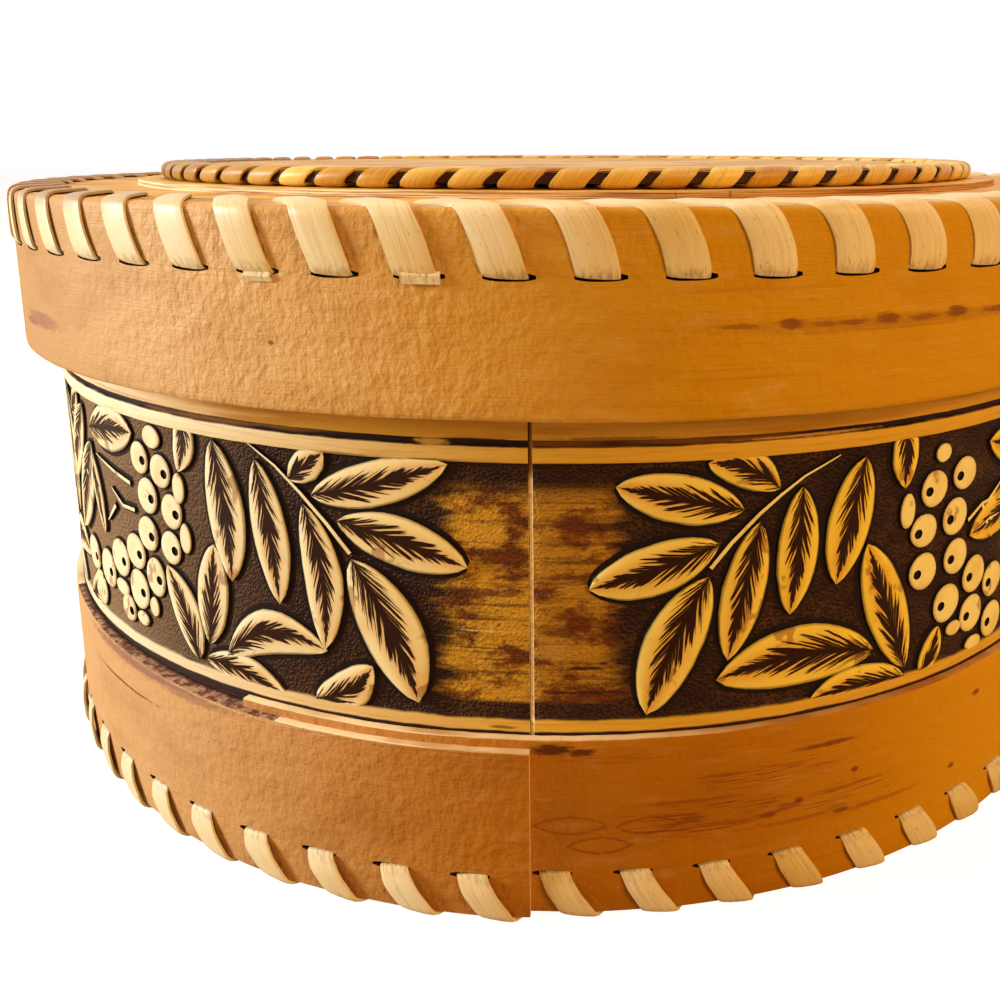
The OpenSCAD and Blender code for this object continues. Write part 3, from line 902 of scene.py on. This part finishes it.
def lidBand():
    t, f, top = lidSheet["thickness"], lidFoot, lidTop
    z, half = rimZ, rim["height"] / 2
    section = [
        (-t, f), (-0.65, f), (-0.25, f + 0.1), (-0.06, f + 0.35), (0, f + 0.8), (0, f + 4), (0, f + 8),
        (0, f + 12), (0, z - 1.5), (0, z - half), (0, z + half), (0, z + 2), (0, top - 3), (0, top - 0.9),
        (-0.08, top - 0.5), (-0.3, top - 0.22), (-0.65, top - 0.05), (-0.95, top), (-t, top), (-t, f),
    ]
    angles = columns(rim, rim["first"] - 180, rim["first"] + 180)

    def place(i, k):
        r, height = section[k]
        a = angles[i % (len(angles) - 1)]
        if r > -1:
            r += lidSheet["sway"] * wobble(a, height, 30)
        if height < f + 1:
            height += lidSheet["waver"] * wobble(a, 0, 22, 1) + 0.06 * wobble(a, 0, 4, 2)
        if abs(height - z) < 1 and r > -1:
            height = z + (height - z) * (1 - 0.6 * min(slotShare(rim, a), 1) ** 3)
            height += 0.05 * wobble(a, 0, 5, 13)
        return spot(lidR + r, a, height)

    def mapAt(i, k):
        return math.radians(angles[i]) * lidR, section[k][1] + section[k][0] * (k < 2 or k > 16)

    def paint(i, k):
        if k == 9 and inSlot(rim, (angles[i] + angles[i + 1]) / 2):
            return 1
        return 2 if k < 2 or k > 16 else 0

    bm = bmesh.new()
    sweep(bm, len(angles) - 1, len(section) - 1, place, mapAt, paint)
    sinkSlots(bm, 1, lidSheet["slotDepth"])
    makePiece(bm, "lidBand", "lid", [bark["lid"], bark["slot"], bark["edge"]], ["lid_band"])


def baseBand():
    t, f, top = lap["thickness"], bandFoot, bandTop
    z, half = baseZ, base["height"] / 2
    start = seamAngle - lap["full"]
    finish = seamAngle + 360
    section = [
        (-t, f), (-0.25, f), (-0.06, f + 0.08), (0, f + 0.3), (0, f + 2.5), (0, z - half), (0, z + half),
        (0, z + 2), (0, f + 11), (0, f + 15), (0, f + 19), (0, top - 1.6), (0, top - 0.35),
        (-0.08, top - 0.1), (-0.25, top), (-t + 0.1, top), (-t, top), (-t, f),
    ]
    angles = columns(base, start, finish)
    inside = (0, 15, 16, 17)   # the corners on the sheet's inner face
    slot = (5, 6)
    topEdge = range(12, 17)

    def place(i, k):
        r, height = section[k]
        a = angles[i]
        out = lapRise(a) if a > 180 else 0
        if k in inside and a < start + 359.9:
            out = 0
        if k in topEdge:
            height -= lap["drop"] * (lapRise(a) if a > 180 else 0) / t
            height += 0.1 * wobble(a, 0, 14, 3 + (a > 300)) + 0.06 * wobble(a, 0, 2, 4)
        if 1 < k < 4:
            height += 0.12 * wobble(a, 0, 7, 5)
        if k in slot:
            height = z + (height - z) * (1 - 0.6 * min(slotShare(base, a), 1) ** 3)
            height += 0.05 * wobble(a, 0, 5, 14)
        if k not in inside:
            r += 0.05 * wobble(a, height, 20, 6)
        return spot(bandR + r + out, a, height)

    def mapAt(i, k):
        return math.radians(angles[i] - seamAngle) * bandR, section[k][1]

    def paint(i, k):
        a = (angles[i] + angles[i + 1]) / 2
        if k == slot[0] and inSlot(base, a) and a > seamAngle:
            return 1
        if k > 12 and start + 325 < a < start + 364:
            return 3
        return 2 if k < 1 or k > 12 else 0

    bm = bmesh.new()
    sweep(bm, len(angles) - 1, len(section) - 1, place, mapAt, paint)
    capEnds(bm, 2)
    sinkSlots(bm, 1, lap["slotDepth"])
    makePiece(bm, "baseBand", "box", [bark["band"], bark["slot"], bark["edge"], bark["peeled"]],
              ["base_band"])


wrap = {"thickness": 1.6, "steps": 720, "skive": 0.27}   # mm, faces round, degrees pared at the right end


def carvedWrap(c):
    low, top = c["field"]
    d, t = c["depth"], wrap["thickness"]
    rows = [low + 0.25 + (top - low - 0.5) * i / 10 for i in range(11)]
    section = [(-t, bodyFoot), (0, bodyFoot), (0, low - 0.25), (-0.08, low - 0.08), (-d + 0.05, low + 0.1)]
    section += [(-d, z) for z in rows]
    section += [
        (-d + 0.05, top - 0.1), (-0.08, top + 0.08), (0, top + 0.25), (0, c["ridge"] - 0.2),
        (-0.08, c["ridge"]), (-d, c["ridge"] + 0.12), (-d, c["groove"] - 0.12), (-0.08, c["groove"]),
        (0, c["groove"] + 0.2), (0, bodyTop), (-t, bodyTop), (-t, bodyFoot),
    ]
    start, finish = seamAngle + 0.03, seamAngle + 359.97
    steps = wrap["steps"]
    inside = (0, len(section) - 2, len(section) - 1)   # the corners on the sheet's inner face

    def angleAt(i):
        if i == 1:
            return start + wrap["skive"]
        return start + (finish - start) * i / steps

    def place(i, k):
        r, height = section[k]
        a = angleAt(i)
        if 2 <= k <= len(section) - 5 and abs(r) < 0.4:
            height += 0.04 * wobble(a, height, 1.6, 7) + 0.08 * wobble(a, height, 6, 8)
        if i == 0 and k not in inside:
            r = min(r, 0) - 0.5 * (1 + r)
        return spot(bodyR + r, a, height)

    def mapAt(i, k):
        return math.radians(angleAt(i) - seamAngle) * bodyR, section[k][1]

    bm = bmesh.new()
    sweep(bm, steps, len(section) - 1, place, mapAt, lambda i, k: 1 if i == 0 else 0)
    capEnds(bm, 1)
    makePiece(bm, "carvedWrap", "box", [bark["carved"], bark["pale"]], ["carved_wrap"])


lidBand()
baseBand()
carvedWrap(carving)

# the leaves, stems and berries are in millimetres from the seam and up from the ground
rightLeaves = [   # tip, base, bend, width
    (10, 55.5, 25.5, 52, 0, 6), (7, 43, 22.5, 48, 0.3, 6.4), (32, 38, 33, 54.2, 0.3, 5.6),
    (38.4, 41, 41.8, 57, 0, 6.5), (22.6, 30.5, 45, 31, -1.6, 8), (35.4, 26, 50.7, 26, -0.4, 5.8),
    (42.9, 45.6, 50.6, 27.2, 0, 6.6), (56.7, 31.5, 53.5, 25.3, -0.7, 3.9), (20.8, 58, 30, 54.3, -0.9, 4.8),
    (48.5, 52, 48, 61, 0, 4.4),
]
rightFirst = [(14, 26.7, 21.3, 44, -0.6, 7.2), (24, 33, 27.6, 50.4, 0, 5.6)]   # only beside the seam
rightStem = [(21.5, 45), (24, 48), (27.4, 51.3), (30.2, 53.5), (33.2, 55.5), (38, 57.6)]
rightTwigs = [
    [(61.5, 45.3), (64.6, 47), (69, 47.5)], [(63.4, 43.6), (66, 44.4), (69.5, 44.6)],
    [(64.6, 47), (66.5, 44)], [(66, 47), (69.5, 49.5)], [(66, 44.4), (68, 41.5)], [(67, 44.5), (70, 42.5)],
]
rightBerries = [   # s, z, width, height
    (54, 51, 5, 5), (58.6, 46.4, 5.2, 5.2), (60, 52.1, 5, 4.6), (52.5, 45.6, 5, 4.5), (52.9, 40, 5.2, 5.2),
    (59.4, 40.7, 5.1, 5.1), (64.1, 37.1, 5.4, 5.4), (58.2, 34.4, 5.5, 5.5), (64.2, 31.4, 5.5, 5.5),
    (69.2, 35, 5.2, 5.2), (70, 28.9, 5.4, 5.4), (60.2, 30.3, 3.3, 2.2), (65.4, 26.6, 4, 2.4),
    (49.3, 48.8, 2.6, 4.8), (55.2, 55.6, 3, 2.6),
]
leftLeaves = [
    (-40, 39.6, -42, 58, 0.5, 6.4), (-32.4, 38, -35, 56.4, 0.3, 5.4), (-32.3, 25.3, -46, 27.5, 0.9, 4.6),
    (-25.8, 32.8, -41.8, 28.9, 3, 6), (-19.6, 31.6, -27.8, 26, -1.1, 5.2), (-43, 44, -45, 29.7, 0, 5.8),
    (-53, 39, -47.4, 26.8, -0.6, 5.8), (-25, 58.4, -30, 54.5, 0, 4), (-48.8, 52.7, -47.5, 61, 0.7, 4.2),
]
leftFirst = [
    (-9.4, 58, -27, 52.8, -0.3, 5.6), (-7.3, 45.5, -23.6, 50, 0.3, 6.3), (-13.7, 27.6, -21.9, 45.3, 0.8, 8),
    (-26, 33, -28.2, 51.6, 1.2, 5.4),
]
leftLater = [   # only further round the box
    (-33.5, 43.6, -22.4, 56.9, 0, 6.5), (-28.8, 36.5, -19.3, 52, 0, 7), (-16.1, 39, -19.8, 51, 0, 3.5),
    (-4.1, 56.2, -18.8, 54.3, 0.3, 6.8),
]
leftStem = [(-22, 46), (-25, 49.5), (-28.5, 53), (-32, 56), (-36, 58.4)]
leftTwigs = [
    [(-60.9, 48.8), (-65.7, 49.5), (-72.2, 50.7)], [(-60.3, 45.1), (-63.8, 45), (-67.2, 46.9)],
    [(-66.3, 44.4), (-69.6, 41.4)],
]
leftBerries = [
    (-54.5, 56.4, 4.1, 3.3), (-57.9, 53, 4.4, 4.6), (-53, 52, 4.6, 4.7), (-49.2, 50.4, 2.5, 4.2),
    (-56.6, 47.9, 4.9, 5.1), (-51.1, 46.8, 4.6, 4.9), (-57.3, 42.4, 5, 5), (-51.9, 41.6, 4.5, 4.7),
    (-48.5, 43.6, 2.3, 4.3), (-61.2, 38.9, 5.5, 5.2), (-66.5, 36.5, 6, 5.7), (-71.8, 33.4, 5.9, 5.9),
    (-78.6, 33.8, 6, 5.4), (-76.6, 28.9, 6, 5.5), (-66.6, 32.1, 4.4, 2.5), (-61.1, 33.3, 5.5, 6),
    (-56.2, 36.4, 4.7, 5.8), (-65, 29.4, 4.4, 4.2), (-57.2, 31.8, 2.4, 3), (-60.7, 29.1, 3.5, 2.2),
]
pattern = {   # sprigs on each side of the seam, their spacing, and where the two sides meet at the back
    "periods": 5, "gap": 55.2, "rightEnd": 288, "leftEnd": 263,
}


relief = {   # faces along a leaf and round a berry, the pit's radius, and widths of stems and twigs in mm
    "leafSteps": 14, "berrySteps": 20, "pit": 0.65, "stem": 0.7, "twig": 0.75,
    "fullness": 0.7,   # less makes a leaf blunter
}


def onWall(s, z, lift):   # mm from the seam and up, and above the sheet's face, to a point
    z = min(max(z, carving["field"][0] - 0.1), carving["field"][1] + 0.1)
    return spot(bodyR + lift, seamAngle + math.degrees(s / bodyR), z)


def carveLeaf(bm, leaf, shift):
    tipS, tipZ, baseS, baseZ, bend, width = leaf
    chord = Vector((tipS - baseS, tipZ - baseZ))
    across = Vector((-chord.y, chord.x)).normalized()
    right = [   # share of the half width, mm beyond it, mm above the sheet's face
        (0.45, 0, 0), (0.86, 0, -0.03), (1, 0, -0.16), (1, 0.1, -0.45), (1, 0.7, -0.47),
    ]
    section = [(-a, -b, lift) for a, b, lift in right[::-1]] + [(0, 0, -0.08)] + right
    steps = relief["leafSteps"]
    last = len(section) - 1

    def place(i, k):
        t = i / steps
        t -= 0.25 * math.sin(2 * math.pi * t) / (2 * math.pi)
        half = width / 2 * (4 * t * (1 - t)) ** relief["fullness"]
        share, beyond, lift = section[k]
        middle = Vector((baseS, baseZ)) + chord * t + across * bend * 4 * t * (1 - t)
        ragged = 0.12 * noise.noise((t * 7, share * 3, tipS)) * (abs(share) > 0.9)
        at = middle + across * (share * half + beyond + ragged)
        return onWall(at.x + shift, at.y, lift)

    sweep(bm, steps, last, place, lambda i, k: (i / steps, section[k][0]),
          lambda i, k: 0 if 2 <= k <= last - 3 else 1, (chord.length, width))


def carveBerry(bm, berry, shift, side):
    # a flat round of uncut bark with a dark pit on the side that faces the seam
    s, z, wide, tall = berry
    pit = relief["pit"] if min(wide, tall) > 3.6 else 0   # small berries have none
    middle = Vector((-side * wide * 0.22, -0.2))   # of the pit
    steps = relief["berrySteps"]

    def place(i, k):
        a = 2 * math.pi * i / steps
        uneven = 1 + 0.05 * noise.noise((math.cos(a) + s, math.sin(a) + z, 4.0))
        edge = Vector((math.cos(a) * (wide / 2 - 0.05), math.sin(a) * (tall / 2 - 0.05))) * uneven
        hole = Vector((math.cos(a) * pit, math.sin(a) * pit * 0.9)) + middle
        at, lift = (
            (hole * 0.001 + middle * 0.999, -0.35), (hole, -0.3), (hole * 1.1 - middle * 0.1, -0.02),
            (hole * 0.45 + edge * 0.55, 0.02), (edge * 0.93, -0.04), (edge, -0.16), (edge * 1.03, -0.45),
            (edge + edge.normalized() * 0.35, -0.47),
        )[k]
        return onWall(s + at.x + shift, z + at.y, lift)

    def paint(i, k):
        return 1 if (k <= 1 and pit) or k >= 5 else 0

    sweep(bm, steps, 7, place, lambda i, k: (i, k), paint)


def carveStem(bm, points, width, shift):
    # a thin raised line through a few points, pointed at its end
    path = [Vector(points[0])]
    for a, b in zip(points, points[1:]):
        path += [Vector(a).lerp(Vector(b), i / 3) for i in range(1, 4)]
    section = [   # share of the half width, mm above the sheet's face
        (-2.2, -0.47), (-1, -0.44), (-0.7, -0.06), (0.7, -0.06), (1, -0.44), (2.2, -0.47),
    ]

    def place(i, k):
        run = (path[min(i + 1, len(path) - 1)] - path[max(i - 1, 0)]).normalized()
        half = width / 2 * (1 - 0.7 * (i / (len(path) - 1)) ** 2)
        at = path[i] + Vector((-run.y, run.x)) * section[k][0] * half
        return onWall(at.x + shift, at.y, section[k][1])

    sweep(bm, len(path) - 1, 5, place, lambda i, k: (i, k), lambda i, k: 0 if k == 2 else 1)


def carvePattern(p):
    leaves, berries, stems = bmesh.new(), bmesh.new(), bmesh.new()
    for name in ("Sheet", "Size"):
        leaves.loops.layers.uv.new(name)
    sides = (
        (1, p["rightEnd"], rightLeaves, rightFirst, [], rightStem, rightTwigs, rightBerries),
        (-1, p["leftEnd"], leftLeaves, leftFirst, leftLater, leftStem, leftTwigs, leftBerries),
    )
    for side, end, blades, first, later, stem, twigs, fruit in sides:
        for k in range(p["periods"]):
            shift = side * k * p["gap"]
            for leaf in blades + (later if k else first):
                if max(abs(leaf[0] + shift), abs(leaf[2] + shift)) < end:
                    carveLeaf(leaves, leaf, shift)
            carveStem(stems, stem, relief["stem"], shift)
            for berry in fruit:
                if abs(berry[0] + shift) < end:
                    carveBerry(berries, berry, shift, side)
            for twig in twigs:
                if abs(twig[-1][0] + shift) < end:
                    carveStem(stems, twig, relief["twig"], shift)
    # the walls, pits and skirts take the near-black finish, partly painted shade
    for bm, name, top in ((leaves, "carvedLeaves", "leaf"), (berries, "carvedBerries", "berry"),
                          (stems, "carvedStems", "berry")):
        makePiece(bm, name, "box", [bark[top], bark["dark"]], closed=False)


carvePattern(pattern)


discEdge = {"steps": 360, "waver": 0.12, "fray": 0.08}   # faces round, and mm in and out


def stepDisc():   # the flat disc with a layered edge on the lid
    z = lowest("step_disc")
    h = highest("step_disc") - z
    section = [
        (0, z), (stepR - 0.1, z), (stepR, z + 0.08), (stepR, z + 0.3 * h), (stepR - 0.18, z + 0.34 * h),
        (stepR - 0.04, z + 0.4 * h), (stepR - 0.04, z + 0.62 * h), (stepR - 0.22, z + 0.66 * h),
        (stepR - 0.1, z + 0.72 * h), (stepR - 0.12, z + 0.95 * h), (stepR - 0.3, z + h),
        (stepR - 5, z + h), (0, z + h),
    ]
    steps = discEdge["steps"]
    rimRows = range(1, len(section) - 1)   # all but the disc's two middles

    def place(i, k):
        r, height = section[k]
        a = 360 * (i % steps) / steps
        if k in rimRows:
            r += discEdge["fray"] * wobble(a, height * 8, 3, 9) - 0.1
            r += discEdge["waver"] * wobble(a, 0, 20, 10)
        return spot(r, a, height)

    def mapAt(i, k):
        return math.radians(360 * i / steps) * stepR, section[k][1]

    bm = bmesh.new()
    sweep(bm, steps, len(section) - 1, place, mapAt, lambda i, k: 1 if 1 <= k <= 9 else 0)
    makePiece(bm, "stepDisc", "lid", [bark["flat"], bark["paleEdge"]], ["step_disc"])


def barkFlat(name, pale, deep, edge=None):
    # a disc cut from birch bark: blotchy tan with short level lenticels, dark where its edge is laced,
    # painted shade in the gaps under the strips
    material, t = newMaterial(name)
    place = onObject(t)
    blotch = patches(t, place, 14 * mm, 6 * mm, 1, 0.35, 0.7, 4)
    colour = between(t, blotch, pale, deep)
    line = patches(t, place, 12 * mm, 0.8 * mm, 2, 0.62, 0.72, 3)
    colour = tint(t, colour, line, "#5E3114", 0.7)
    fine = grain(t, place, 5 * mm, 0.4 * mm, 3, 2)
    colour = tint(t, colour, ramp(t, fine, 0.45, 0.75), "#F0CC93", 0.3)
    # painted shade: a dark ring just inside the edge, under and between the strips
    if edge:
        colour = tint(t, colour, ramp(t, fromAxis(t, place), (edge - 0.5) * mm, (edge - 0.1) * mm), "#3E1E0C")
    layFinish(t, colour, 0.5, fine, 0.05)
    return material


bark["flat"] = barkFlat("birch bark disc", "#EEBC52", "#C08428")
bark["mottled"] = barkFlat("mottled birch bark", "#E8C278", "#B07C3C", discR)
bark["lining"] = barkFlat("birch bark lining", "#DDA870", "#B87C40")
stepDisc()

plainNodes = {   # the CAD nodes that keep their own shape, and their finishes
    "base_disc": "flat", "lid_top": "flat", "laced_disc": "mottled", "base_lining": "lining",
    "inner_tube": "lining", "lid_inner_band": "lining", "lid_lining": "lining",
}
for node, finish in plainNodes.items():
    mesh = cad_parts[node].data
    mesh.materials.clear()
    mesh.materials.append(bark[finish])
print("discs and linings finished")
